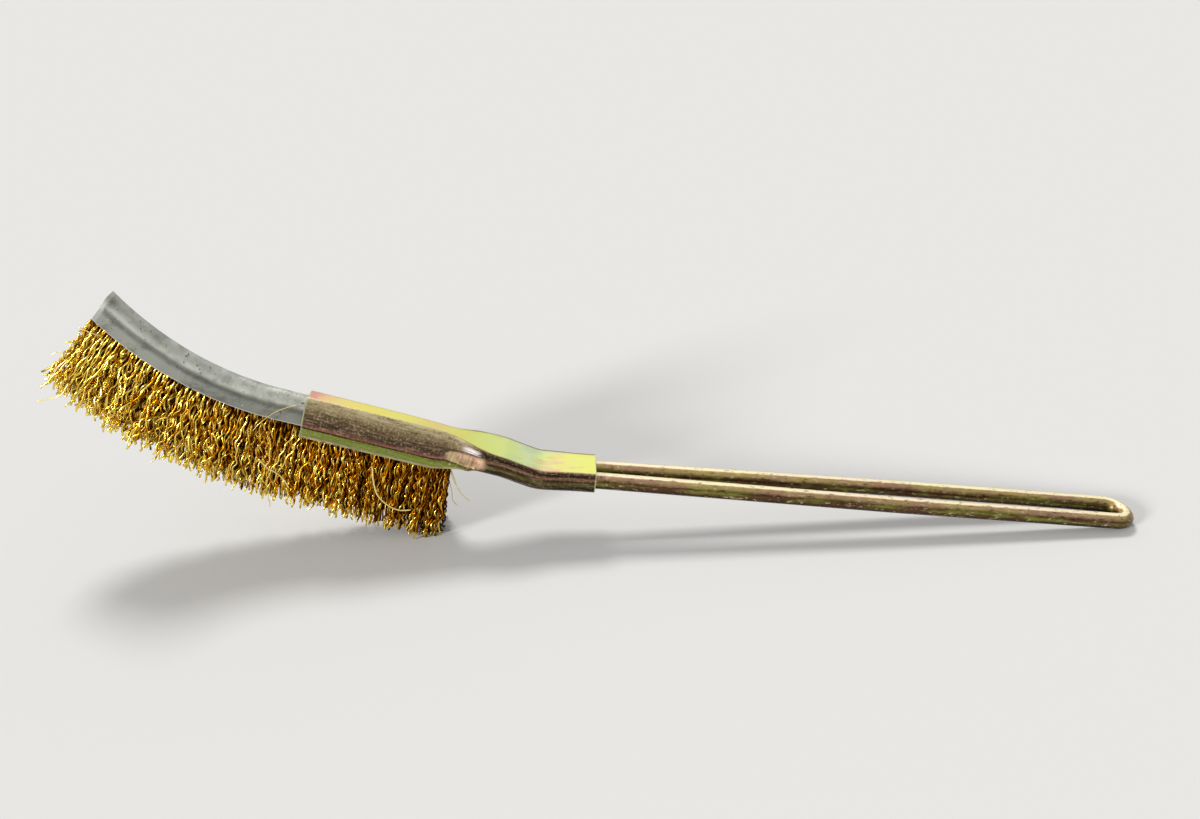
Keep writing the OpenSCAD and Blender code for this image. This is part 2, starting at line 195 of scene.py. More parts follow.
# finishes
def passivatedSheet():
    look = {  # along runs from the mouth to the head, around from the top's middle to the edge
        "alongTop": [
            (0.00, "eef07a"), (0.07, "ecee80"), (0.13, "eee28c"), (0.18, "e6f088"), (0.25, "ecfabe"),
            (0.33, "ecfa98"), (0.42, "eef688"), (0.50, "f4ee7c"), (0.57, "f6e08c"), (0.66, "f6ee7c"),
            (0.80, "f8ec72"), (0.92, "fae48c"), (0.975, "f6cc94"), (1.00, "e8a494")],
        "aroundHead": [
            (0.00, "8d8052"), (0.20, "d6c492"), (0.27, "b8a276"), (0.35, "66523a"), (0.47, "463628"),
            (0.57, "70483e"), (0.62, "b2746a"), (0.66, "4e3022"), (0.70, "302810"), (0.74, "8a9a38"),
            (0.93, "a8b850"), (0.975, "b4be70"), (1.00, "e4e2b8")],
        "aroundWrap": [
            (0.00, "8d8052"), (0.19, "a08258"), (0.24, "54382a"), (0.33, "2a1c12"), (0.40, "8e624a"),
            (0.46, "20160e"), (0.55, "605826"), (0.62, "241a10"), (0.72, "302616"), (1.00, "2c2816")],
        "topEnds": (0.160, 0.200), "headStarts": (0.40, 0.50),
        "patch": "ecb8a8", "bloom": "cce4cc", "topFleck": "f4f0c4",
        "paleStreak": "b39a78", "darkStreak": "33271b", "fineStreak": "46362a",
        "paleFleck": "e0cea4", "darkFleck": "36281a", "bendHighlight": "e8dcae", "shoulder": "fff2ec",
        "crease": "e8c69e", "creaseShade": "a87e68", "creaseYellow": "c8bc86", "creasePink": "e8b4a2",
        "cutEdge": "cfd3a0",
        "driftScale": 170.0, "veinScale": 480.0, "patchScale": 260.0, "fleckScale": 2400.0,
        "lineScale": 2.6, "fineScale": 2.2, "rippleScale": 2.4,
    }
    material, t, shader = newFinish("passivatedSheet", {"IOR": 1.5})
    place = t.add("ShaderNodeTexCoord", out="Object")
    along, around, _ = t.parts(t.add("ShaderNodeUVMap", {"uv_map": "sheet"}))
    _, across, _ = t.parts(place)
    farSide = (across * 1.0e6).clamped() * 7.0  # gives the far side a pattern of its own
    sheetPlace = t.add("ShaderNodeCombineXYZ", {}, {0: along * 50.0, 1: around * 12.0, 2: farSide})
    lengthwise = t.stretched(place, (0.5, 1.0, 1.0))
    drift = t.noise(lengthwise, look["driftScale"], 4.0, 0.55) - 0.5
    veins = t.noise(lengthwise, look["veinScale"], 4.0, 0.65)
    patch = t.noise(t.stretched(place, (0.4, 1.0, 1.0)), look["patchScale"], 3.0, 0.6)
    fleck = t.noise(place, look["fleckScale"], 2.0, 0.55)
    line = t.noise(t.stretched(sheetPlace, (0.09, 1.0, 1.0)), look["lineScale"], 4.0, 0.65)
    fine = t.noise(t.stretched(sheetPlace, (0.3, 1.0, 1.0)), look["fineScale"], 4.0, 0.65)
    ripple = t.noise(t.stretched(sheetPlace, (1.0, 0.12, 1.0)), look["rippleScale"], 3.0, 0.6)

    # the flat top
    topColour = t.ramp((along + drift * 0.10 + (veins - 0.5) * 0.12).clamped(), look["alongTop"])
    pinkened = patch.between(0.54, 0.66) * along.between(0.50, 0.10)
    topColour = t.mix(pinkened * 0.7, topColour, look["patch"])
    nearBend = along.between(0.08, 0.14) * along.between(0.36, 0.26)
    topColour = t.mix(patch.between(0.48, 0.38) * nearBend * 0.45, topColour, look["bloom"])
    topColour = t.mix(fleck.between(0.58, 0.75) * 0.25, topColour, look["topFleck"])

    # the sides, from the wrap round the wires to the head, in the sheet's own colours
    # the ramps also paint a highlight at the shoulder and shade down the side, in the groove and underneath
    shaken = (around + drift * 0.03).clamped()
    isHead = along.between(*look["headStarts"])
    side = t.mix(isHead, t.ramp(shaken, look["aroundWrap"]), t.ramp(shaken, look["aroundHead"]))
    side = t.mix(line.between(0.53, 0.66) * 0.6, side, look["paleStreak"])
    side = t.mix(line.between(0.47, 0.33) * 0.6, side, look["darkStreak"])
    side = t.mix(fine.between(0.56, 0.66) * 0.55, side, look["fineStreak"])
    flecks = (0.25 + around.between(0.42, 0.24) * 0.35) * (0.35 + isHead * 0.65)
    side = t.mix(fleck.between(0.53, 0.66) * flecks, side, look["paleFleck"])
    darkFlecks = fleck.between(0.46, 0.34) * around.between(0.68, 0.62)
    side = t.mix(darkFlecks * 0.35, side, look["darkFleck"])
    # a painted highlight along the bend from the top down to the side, at the head
    bendHighlight = along.between(0.40, 0.55) * around.between(0.185, 0.205) * around.between(0.30, 0.24)
    side = t.mix(bendHighlight * line.between(0.48, 0.60) * 0.7, side, look["bendHighlight"])

    # the leaf-shaped patch at the crimp, with painted shade in its creases, and a painted highlight on the
    # shoulder above it
    bulge = (around - 0.52) * (around - 0.52) * 1.2
    atCrimp = (along - bulge * 0.5 + drift * 0.08).between(0.385, 0.41)
    atCrimp = atCrimp * (along + bulge + drift * 0.12).between(0.530, 0.508)
    atCrimp = atCrimp * (around + drift * 0.25).between(0.35, 0.39)
    crease = t.mix(ripple.between(0.30, 0.56), look["creaseShade"], look["crease"])
    crease = t.mix((along + drift * 0.2).between(0.44, 0.50) * 0.5, crease, look["creaseYellow"])
    crease = t.mix(veins.between(0.50, 0.64) * 0.6, crease, look["creasePink"])
    side = t.mix(atCrimp * 0.9, side, crease)
    shoulder = along.between(0.40, 0.425) * (along + drift * 0.05).between(0.485, 0.45)
    shoulder = shoulder * around.between(0.235, 0.262) * around.between(0.345, 0.305)
    shoulder = shoulder * line.between(0.36, 0.54)
    side = t.mix(shoulder, side, look["shoulder"])

    isSide = around.between(*look["topEnds"])
    colour = t.mix(isSide, topColour, side)
    cutEdge = (along.between(0.994, 0.999) + along.between(0.005, 0.001)).clamped()
    colour = t.mix(cutEdge * 0.8, colour, look["cutEdge"])
    dress(t, shader, (fine * 0.5 + fleck * 0.2 + line * 0.3, 0.35, 0.04 * mm), colour=colour,
          roughness=0.27 + fine * 0.16 + fleck * 0.06, metallic=0.25 + isSide * (0.55 - shoulder * 0.45))
    return material


def passivatedWire():
    look = {
        "crest": "fff6c4", "crestPink": "ffe6cc", "tan": "ccb272", "pink": "c09676", "olive": "86823c",
        "brown": "5c3f2a", "under": "2c1a0c", "underPink": "46261a", "fleck": "f0e6b8",
        "driftScale": 110.0, "patchScale": 330.0, "streakScale": 1300.0, "speckScale": 2000.0,
        "crestStarts": (0.90, 0.97),  # by how far the surface faces up
    }
    material, t, shader = newFinish("passivatedWire", {"IOR": 1.5})
    place = t.turned(t.add("ShaderNodeTexCoord", out="Object"), brush["tilt"])
    _, _, up = t.parts(t.add("ShaderNodeNewGeometry", out="Normal"))
    drift = t.noise(t.stretched(place, (0.30, 1.0, 1.0)), look["driftScale"], 3.0, 0.5)
    patch = t.noise(t.stretched(place, (0.4, 1.0, 1.0)), look["patchScale"], 4.0, 0.6)
    streak = t.noise(t.stretched(place, (0.05, 1.0, 1.0)), look["streakScale"], 4.0, 0.65)
    speck = t.noise(t.stretched(place, (0.4, 1.0, 1.0)), look["speckScale"], 3.0, 0.65)
    # under is painted shade for the underside; tan, pink, olive and brown are the wire's own colours
    under = t.mix(drift.between(0.42, 0.58), look["under"], look["underPink"])
    browned = (patch * 0.7 + streak * 0.6 - 0.15).between(0.40, 0.58)
    lower = t.mix(browned, look["olive"], look["brown"])
    pinkened = (patch * 0.6 - drift * 0.8 + streak * 0.5 + 0.35).between(0.46, 0.66)
    upper = t.mix(pinkened, look["tan"], look["pink"])
    # by how far the surface faces up: a painted highlight on the crest, painted shade lower down and
    # underneath
    crest = t.mix((1 - drift).between(0.48, 0.62) * 0.5, look["crest"], look["crestPink"])
    shaken = up + (streak - 0.5) * 0.9 + (speck - 0.5) * 0.35
    colour = t.mix(shaken.between(-0.55, 0.05), under, lower)
    colour = t.mix(shaken.between(0.35, 0.75), colour, upper)
    line = up + (speck - 0.5) * 0.05
    colour = t.mix(line.between(*look["crestStarts"]), colour, crest)
    colour = t.mix(speck.between(0.58, 0.68) * 0.55, colour, look["fleck"])
    colour = t.mix(speck.between(0.44, 0.32) * 0.6, colour, look["under"])
    dress(t, shader, (streak * 0.6 + speck * 0.4, 0.3, 0.03 * mm), colour=colour,
          roughness=0.26 + streak * 0.2, metallic=0.85 - line.between(0.88, 0.96) * 0.65)
    return material


def galvanisedSheet():
    look = {
        "light": "caccc0", "dark": "a6a79c", "smudge": "6a6b62", "speck": "4a4a42", "brightSpeck": "e6e8e2",
        "waist": "85867c", "groove": "4c4d44", "flangeHeel": "7e7f75", "flangeToe": "b2b3a8",
        "stain": "55564c", "toeCut": "d4d5ca", "mouthEdgeHighlight": "dedfd4",
        "cloudScale": 420.0, "smudgeScale": 330.0, "speckScale": 1700.0,
    }
    material, t, shader = newFinish("galvanisedSheet", {"IOR": 1.5, "Metallic": 0.35})
    place = t.add("ShaderNodeTexCoord", out="Object")
    cloud = t.noise(place, look["cloudScale"], 4.0, 0.6)
    speck = t.noise(place, look["speckScale"], 2.0, 0.6)
    smudge = t.noise(t.stretched(place, (0.5, 1.0, 1.0)), look["smudgeScale"], 4.0, 0.7)
    height = t.attribute("groove")  # above the line of the wires, in millimetres
    toe = t.attribute("toe")  # 0 at the heel of the strip, 1 at its toe
    shaken = height + (smudge - 0.5) * 0.5
    # groove: a band along the waist under the round back, where shade is painted
    groove = shaken.between(-0.9, -0.1) * shaken.between(1.15, 0.45) * (0.6 + cloud * 0.5)
    onFlange = height.between(0.4, -0.2)
    nearToe = (toe + (cloud - 0.5) * 0.3).between(0.55, 0.90)
    colour = t.mix(cloud.between(0.35, 0.68), look["light"], look["dark"])
    colour = t.mix(smudge.between(0.56, 0.72) * 0.55, colour, look["smudge"])
    # painted shade on the lower part of the round back
    colour = t.mix(height.between(1.5, 0.6) * 0.35, colour, look["waist"])
    colour = t.mix(onFlange * 0.8, colour, t.mix(nearToe, look["flangeHeel"], look["flangeToe"]))
    colour = t.mix(onFlange * smudge.between(0.50, 0.66) * 0.5, colour, look["stain"])
    # painted shade along the groove, deeper towards the toe
    colour = t.mix(groove * (0.65 + toe * 0.2), colour, look["groove"])
    colour = t.mix(toe.between(0.984, 0.992) * 0.8, colour, look["toeCut"])
    # a painted highlight along the rolled edge of the mouth
    colour = t.mix(height.between(-1.98, -2.12) * 0.8, colour, look["mouthEdgeHighlight"])
    colour = t.mix(speck.between(0.63, 0.70) * 0.8, colour, look["speck"])
    colour = t.mix(speck.between(0.30, 0.24) * 0.8, colour, look["brightSpeck"])
    dress(t, shader, (cloud * 0.4 + speck * 0.6, 0.35, 0.04 * mm), colour=colour,
          roughness=0.48 + cloud * 0.14)
    return material


def coreSteel():
    look = {"light": "8f9091", "dark": "5d5c58", "grainScale": 1200.0}
    material, t, shader = newFinish("coreSteel", {"IOR": 1.5, "Metallic": 1.0})
    place = t.stretched(t.add("ShaderNodeTexCoord", out="Object"), (0.2, 1.0, 1.0))
    grain = t.noise(place, look["grainScale"], 4.0, 0.6)
    colour = t.mix(grain.between(0.3, 0.7), look["light"], look["dark"])
    dress(t, shader, (grain, 0.2, 0.02 * mm), colour=colour, roughness=0.32 + grain * 0.2)
    return material


def brassFilament():
    look = {"paintedGlint": "ffe266", "gold": "f4aa10", "amber": "b86a02", "dark": "6c3002", "paintedShade": "3a1600",
            "bare": "fff0b4", "edgeTint": "c08a38", "toneScale": 700.0, "grainScale": 4200.0}
    constants = {"IOR": 1.45, "Specular IOR Level": 0.1, "Specular Tint": rgb(look["edgeTint"])}
    material, t, shader = newFinish("brassFilament", constants)
    place = t.add("ShaderNodeTexCoord", out="Object")
    tone = t.noise(place, look["toneScale"], 3.0, 0.6)
    grain = t.noise(place, look["grainScale"], 2.0, 0.6)
    # the filaments carry shade (painted shade in the depths), tone, crest (painted glints on the crimp) and
    # bare (painted sheen)
    shade, own, crest, bare = (t.attribute(name) for name in ("shade", "tone", "crest", "bare"))
    # random dark filaments, with painted shade on those deep in the tuft and towards the heel
    darkened = (own + tone * 0.5).between(0.70, 1.15) * 0.9
    colour = t.mix(tone.between(0.36, 0.62), look["gold"], look["amber"])
    colour = t.mix(darkened, colour, look["dark"])
    # painted glints where the crest is high; the tips and the toe get more
    colour = t.mix((crest + tone * 0.6 - own * 0.6).between(0.46, 0.76), colour, look["paintedGlint"])
    # painted shade at the roots, deep in the tuft and in the crimp's troughs
    colour = t.mix(shade.clamped(), colour, look["paintedShade"])
    # a pale painted sheen on the loose filaments, as they catch the light
    colour = t.mix(bare * 0.6, colour, look["bare"])
    dress(t, shader, (grain, 0.2, 0.01 * mm), colour=colour,
          roughness=0.12 + tone * 0.20 + (darkened + shade).clamped() * 0.30,
          metallic=1 - (darkened * 0.4 + shade).clamped() * 0.4 - bare * 0.45)
    return material


finishes = {
    "sheet": passivatedSheet(),
    "wire": passivatedWire(),
    "channel": galvanisedSheet(),
    "core": coreSteel(),
    "brass": brassFilament(),
}
print("finishes made")


# places on the brush
lineR = brush["curveR"] - brush["mouthDrop"]
stripLength = brush["straight"] + brush["curveR"] * math.radians(brush["curveAngle"])
handleFrame = (Matrix.Translation((brush["loopX"], 0, brush["loopZ"]))
               @ Matrix.Rotation(math.radians(brush["tilt"]), 4, "Y"))
stripFrame = (handleFrame @ Matrix.Translation((brush["heelX"], 0, brush["heelZ"]))
              @ Matrix.Rotation(math.radians(brush["stripAngle"]), 4, "Y"))


def onStrip(s, y, up):  # s along the channel's mouth, y across it, up from the line of the wires
    turn = max(0.0, s - brush["straight"]) / brush["curveR"]
    reach = lineR - up
    x = -min(s, brush["straight"]) - reach * math.sin(turn)
    return stripFrame @ Vector((x, y, lineR - reach * math.cos(turn)))


def ahead(p, l):  # a place is x, z and the angle above -X, in radians
    return (p[0] - l * math.cos(p[2]), p[1] + l * math.sin(p[2]), p[2])


def bent(p, angle, r):
    return (p[0] + r * (math.sin(p[2]) - math.sin(p[2] + angle)),
            p[1] + r * (math.cos(p[2]) - math.cos(p[2] + angle)), p[2] + angle)


rise = math.radians(brush["crankAngle"])
fall = rise - math.radians(brush["stripAngle"])
riseTangent = brush["crankR"] * math.tan(rise / 2)
fallTangent = brush["crankR"] * math.tan(fall / 2)
gripL = brush["grip"] - riseTangent
slopeL = brush["crank"] - riseTangent - fallTangent
tailL = brush["tail"] - fallTangent
mouth = (-brush["handle"], 0.0, 0.0)
riseStart = ahead(mouth, gripL)
riseEnd = bent(riseStart, rise, brush["crankR"])
fallStart = ahead(riseEnd, slopeL)
fallEnd = bent(fallStart, -fall, -brush["crankR"])
legEnd = ahead(fallEnd, tailL)
heel = ahead(legEnd, brush["tailGap"])


def addObject(name, data):
    made = bpy.data.objects.new(name, data)
    bpy.context.scene.collection.objects.link(made)
    return made


def meshPiece(name, points, faces, material, sheetPlaces=None):  # sheetPlaces are on the flat sheet
    mesh = bpy.data.meshes.new(name)
    mesh.from_pydata([Vector(p) * mm for p in points], [], faces)
    if sheetPlaces:
        layer = mesh.uv_layers.new(name="sheet")
        for loop in mesh.loops:
            layer.data[loop.index].uv = sheetPlaces[loop.vertex_index]
    work = bmesh.new()
    work.from_mesh(mesh)
    if not sheetPlaces:  # on a folded sheet this would join a few points that only lie close
        bmesh.ops.remove_doubles(work, verts=work.verts, dist=0.001 * mm)
    bmesh.ops.recalc_face_normals(work, faces=work.faces)
    work.to_mesh(mesh)
    work.free()
    mesh.polygons.foreach_set("use_smooth", [True] * len(mesh.polygons))
    mesh.materials.append(material)
    return addObject(name, mesh)


def gridFaces(rows, columns):  # between closed rings of points
    faces = []
    for i in range(rows - 1):
        for j in range(columns):
            n = (j + 1) % columns
            faces.append((i * columns + j, i * columns + n, (i + 1) * columns + n, (i + 1) * columns + j))
    return faces


def sheetEnds(starts, ringSize):  # closes the wall of a sheet at the rings that begin at starts
    return [(o + i, o + i + 1, o + ringSize - 2 - i, o + ringSize - 1 - i)
            for o in starts for i in range(ringSize // 2 - 1)]


def sharpen(piece, degrees):
    piece.data.set_sharp_from_angle(angle=math.radians(degrees))


def bevelEdges(piece, width):
    bevel = piece.modifiers.new("edge", "BEVEL")
    bevel.width = width
    bevel.segments = 2
    bevel.limit_method = "ANGLE"
    bevel.angle_limit = math.radians(50)


# handle: one hairpin of round wire
def makeHandle():
    size = {"sides": 36, "step": 0.9, "bendSteps": 26, "brokenEdge": 0.12}
    path = []  # one leg from its end in the sleeve to the loop, in the handle's frame
    for k in range(6):
        path.append(ahead(legEnd, -tailL * k / 6))
    for k in range(7):
        path.append(bent(fallStart, -fall * (1 - k / 7), -brush["crankR"]))
    for k in range(4):
        path.append(ahead(fallStart, -slopeL * k / 4))
    for k in range(9):
        path.append(bent(riseStart, rise * (1 - k / 9), brush["crankR"]))
    x = riseStart[0]
    while x < -0.01:
        path.append((x, 0.0, 0.0))
        x += size["step"]
    leg = []
    for x, z, _ in path:
        share = min(1.0, max(0.0, (-brush["parallel"] - x) / (brush["handle"] - brush["parallel"])))
        y = brush["loopR"] + (brush["legY"] - brush["loopR"]) * share
        leg.append(Vector((x, y, z)))
    loop = []
    for k in range(size["bendSteps"] + 1):
        a = math.pi * k / size["bendSteps"]
        loop.append(Vector((brush["loopR"] * math.sin(a), brush["loopR"] * math.cos(a), 0.0)))
    points = leg + loop + [Vector((p.x, -p.y, p.z)) for p in reversed(leg)]

    def ring(p, way, radius):
        side = way.cross(Vector((0, 0, 1))).normalized()
        top = side.cross(way).normalized()
        angles = [2 * math.pi * j / size["sides"] for j in range(size["sides"])]
        return [handleFrame @ (p + radius * (side * math.cos(a) + top * math.sin(a))) for a in angles]

    rings = []
    last = len(points) - 1
    full = brush["wireR"]
    broken = size["brokenEdge"]  # the cut ends are broken over their edge
    for k, p in enumerate(points):
        way = (points[min(k + 1, last)] - points[max(k - 1, 0)]).normalized()
        if k == 0:
            rings += ring(p, way, full - broken) + ring(p + way * broken, way, full)
        elif k == last:
            rings += ring(p - way * broken, way, full) + ring(p, way, full - broken)
        else:
            rings += ring(p, way, full)
    sides = size["sides"]
    count = len(rings) // sides
    faces = gridFaces(count, sides)
    faces.append(tuple(range(sides)))
    faces.append(tuple((count - 1) * sides + j for j in range(sides)))
    piece = meshPiece("hairpin_handle", rings, faces, finishes["wire"])
    sharpen(piece, 35)
    return piece


# sleeve: one folded sheet, lofted from the wires' wrap to the strip's head
sleeve = {
    "sheet": 0.5, "cornerR": 0.85, "lowCornerR": 1.75, "flatTop": 1.15, "swell": 0.3, "creaseUp": 0.75,
    "spread": 0.3, "flangeOut": 1.1, "flangeDown": 1.15, "seam": 0.3, "cover": 26.0, "fit": 0.08,
    "skirtW": 4.4, "backUp": 2.6,
    "taper": 9.5,  # length over which the top narrows from the legs' width to the strip's
    "raised": [(-7, 0.0), (-4.3, 0.05), (-2.2, 0.19), (0, 0.31), (2, 0.48), (4.2, 0.70), (6.2, 0.80),
               (7.8, 0.87), (10.5, 0.96), (13, 1.0)],  # share of the strip's height, by the distance
    "dent": 0.62, "shoulder": 0.22,  # how far the crimp presses the side in and its shoulder out
    "folds": (0.045, 0.03, 0.07),  # depths of the three waves in the crimp's creases
    "headStart": 3.6, "brokenEdge": 0.07,
}


def ease(x):
    c = max(0.0, min(1.0, x))
    return c * c * (3 - 2 * c)


def through(points, x):  # straight between the points, level outside them
    for (x0, y0), (x1, y1) in zip(points, points[1:]):
        if x <= x1:
            return y0 + (y1 - y0) * max(0.0, (x - x0) / (x1 - x0))
    return points[-1][1]


def along2d(points, n):  # n+1 points evenly along a polyline
    lengths = [math.dist(points[i], points[i + 1]) for i in range(len(points) - 1)]
    total = sum(lengths)
    out = []
    for k in range(n + 1):
        left = total * k / n
        i = 0
        while i < len(lengths) - 1 and left > lengths[i]:
            left -= lengths[i]
            i += 1
        w = min(1.0, left / lengths[i])
        (x0, y0), (x1, y1) = points[i], points[i + 1]
        out.append((x0 * (1 - w) + x1 * w, y0 * (1 - w) + y1 * w))
    return out


def makeSleeve():
    v = sleeve
    halfW = brush["legY"] + brush["wireR"] + v["fit"] + v["sheet"] / 2
    halfH = brush["wireR"] + v["fit"] + v["sheet"] / 2
    wrapR = v["cornerR"] - v["sheet"] / 2
    lowR = v["lowCornerR"] - v["sheet"] / 2
    backH = v["backUp"] + v["fit"] + v["sheet"] / 2
    pinchW = v["skirtW"] / 2 + v["fit"] + v["sheet"] / 2
    sideW = pinchW + v["swell"]
    creaseH = brush["mouthDrop"] - v["creaseUp"]
    drop = brush["mouthDrop"]

    def arc(cx, cz, r, a0, a1, n):
        return [(cx + r * math.sin(math.radians(a0 + (a1 - a0) * k / n)),
                 cz + r * math.cos(math.radians(a0 + (a1 - a0) * k / n))) for k in range(n + 1)]

    # the stretches of each half profile: flat top, corner, side, and edge
    wrap = [
        along2d([(0, halfH), (halfW - wrapR, halfH)], 7)[:-1],
        along2d(arc(halfW - wrapR, halfH - wrapR, wrapR, 0, 90, 8), 8)[:-1],
        along2d([(halfW, halfH - wrapR), (halfW, lowR - halfH)], 8)[:-1],
        along2d(arc(halfW - lowR, lowR - halfH, lowR, 90, 180, 8) + [(v["seam"] / 2, -halfH)], 16),
    ]
    head = [
        along2d([(0, backH), (v["flatTop"], backH)], 7)[:-1],
        [(v["flatTop"], backH), (v["flatTop"] + 0.12, backH - 0.04), (v["flatTop"] + 0.45, backH - 0.30),
         (v["flatTop"] + 0.85, backH - 0.66), (sideW - 0.50, backH - 1.06), (sideW - 0.24, backH - 1.42),
         (sideW - 0.08, backH - 1.86), (sideW - 0.01, backH - 2.30)],
        along2d([(sideW, backH - 2.7), (sideW, -creaseH / 2), (sideW - 0.06, -creaseH)], 8)[:-1],
        along2d([(sideW - 0.04, -creaseH), (sideW - 0.12, -creaseH - 0.30), (pinchW, -drop),
                 (pinchW + v["flangeOut"] * 0.12, -drop - v["flangeDown"] * 0.32),
                 (pinchW + v["flangeOut"] * 0.5, -drop - v["flangeDown"] * 0.72),
                 (pinchW + v["flangeOut"], -drop - v["flangeDown"])], 16),
    ]
    wrapLine = [p for stretch in wrap for p in stretch]
    headLine = [p for stretch in head for p in stretch]
    edgeFrom = len(head[0]) + len(head[1]) + 6  # the edge's rule begins a little above the crease
    n = len(wrapLine)

    headL = v["cover"] - v["headStart"]
    stretches = [  # the number of places in each, and the place at a share of it
        (14, lambda share: ahead(mouth, gripL * share)),
        (8, lambda share: bent(riseStart, rise * share, brush["crankR"])),
        (6, lambda share: ahead(riseEnd, slopeL * share)),
        (5, lambda share: bent(fallStart, -fall * share, -brush["crankR"])),
        (5, lambda share: ahead(fallEnd, tailL * share)),
        (30, lambda share: ahead(legEnd, (brush["tailGap"] - 0.1) * share)),
        (24, lambda share: ahead(heel, v["headStart"] * share)),
    ]
    places = [place(k / count) for count, place in stretches for k in range(count)]
    places += [ahead(heel, v["headStart"] + headL * k / 63) for k in range(64)]
    travelled = [0.0]
    for a, b in zip(places, places[1:]):
        travelled.append(travelled[-1] + math.dist(a[:2], b[:2]))
    total = travelled[-1]
    atLegEnd = travelled[sum(count for count, _ in stretches[:5])]

    def halfLine(gone, side):
        line = []
        past = gone - atLegEnd  # how far it is past the ends of the legs
        narrowed = ease((past + 3.2) / v["taper"])
        raised = 0.5 * (through(v["raised"], past - 0.8) + through(v["raised"], past + 0.8))
        hang = 0.30 + 0.70 * ease((past - 1.5) / 7)  # the flange is drawn up at the crimp
        opened = ease((past + 1.3) / 2.4)
        pressed = ease((past + 1.2) / 1.8) * ease((7.6 - past) / 3.0)
        creased = ease((past + 0.8) / 1.2) * ease((7.0 - past) / 2.5)
        spread = v["spread"] * ease((gone / gripL - 0.3) / 0.7) * (1 - narrowed)
        for i in range(n):
            share = min(1.0, max(0.0, (i - edgeFrom + 1) / 6))  # the two parts blend over the crease
            wide = narrowed * (1 - share) + opened * share
            high = raised * (1 - share) + opened * share
            hx, hz = headLine[i]
            if hz < -drop:
                hx, hz = pinchW + (hx - pinchW) * hang, -drop + (hz + drop) * hang
            x = wrapLine[i][0] * (1 - wide) + hx * wide
            z = wrapLine[i][1] * (1 - high) + hz * high
            dent = pressed * v["dent"] * ease((i - 11) / 5) * ease((31 - i) / 8)
            out = v["shoulder"] * ease((i - 6) / 3) * ease((13 - i) / 3) * ease((4.5 - past) / 3)
            dent -= pressed * out
            # pressed creases run down the side at the crimp
            fold = creased * ease((i - 14) / 4) * ease((39 - i) / 5)
            fold *= (v["folds"][0] * math.sin(past * 5.9 + 0.10 * i * side + side)
                     + v["folds"][1] * math.sin(past * 10.3 - 0.15 * i)
                     + v["folds"][2] * math.sin(past * 2.3 + i * 0.4))
            x = x * (1 + spread / halfW) - dent + fold
            line.append((x, z))
        return line

    half = v["sheet"] / 2
    points = []
    sheetPlaces = []
    for (px, pz, angle), gone in zip(places, travelled):
        right = halfLine(gone, 1)
        left = halfLine(gone, -1)
        line = [(-p[0], p[1]) for p in reversed(left[1:])] + right
        count = len(line)
        outer = []
        inner = []
        for i in range(count):
            a, b = line[max(i - 1, 0)], line[min(i + 1, count - 1)]
            dx, dz = b[0] - a[0], b[1] - a[1]
            l = math.hypot(dx, dz)
            outer.append((line[i][0] - dz / l * half, line[i][1] + dx / l * half))
            inner.append((line[i][0] + dz / l * half, line[i][1] - dx / l * half))
        for i, (y, z) in enumerate(outer + inner[::-1]):
            points.append(handleFrame @ Vector((px + z * math.sin(angle), y, pz + z * math.cos(angle))))
            j = i if i < count else 2 * count - 1 - i
            sheetPlaces.append((gone / total, abs(j - (count - 1) / 2) / ((count - 1) / 2)))
    ringSize = 2 * (2 * n - 1)
    faces = gridFaces(len(places), ringSize) + sheetEnds((0, len(points) - ringSize), ringSize)
    piece = meshPiece("folded_sleeve", points, faces, finishes["sheet"], sheetPlaces)
    bevelEdges(piece, v["brokenEdge"] * mm)
    sharpen(piece, 60)
    return piece


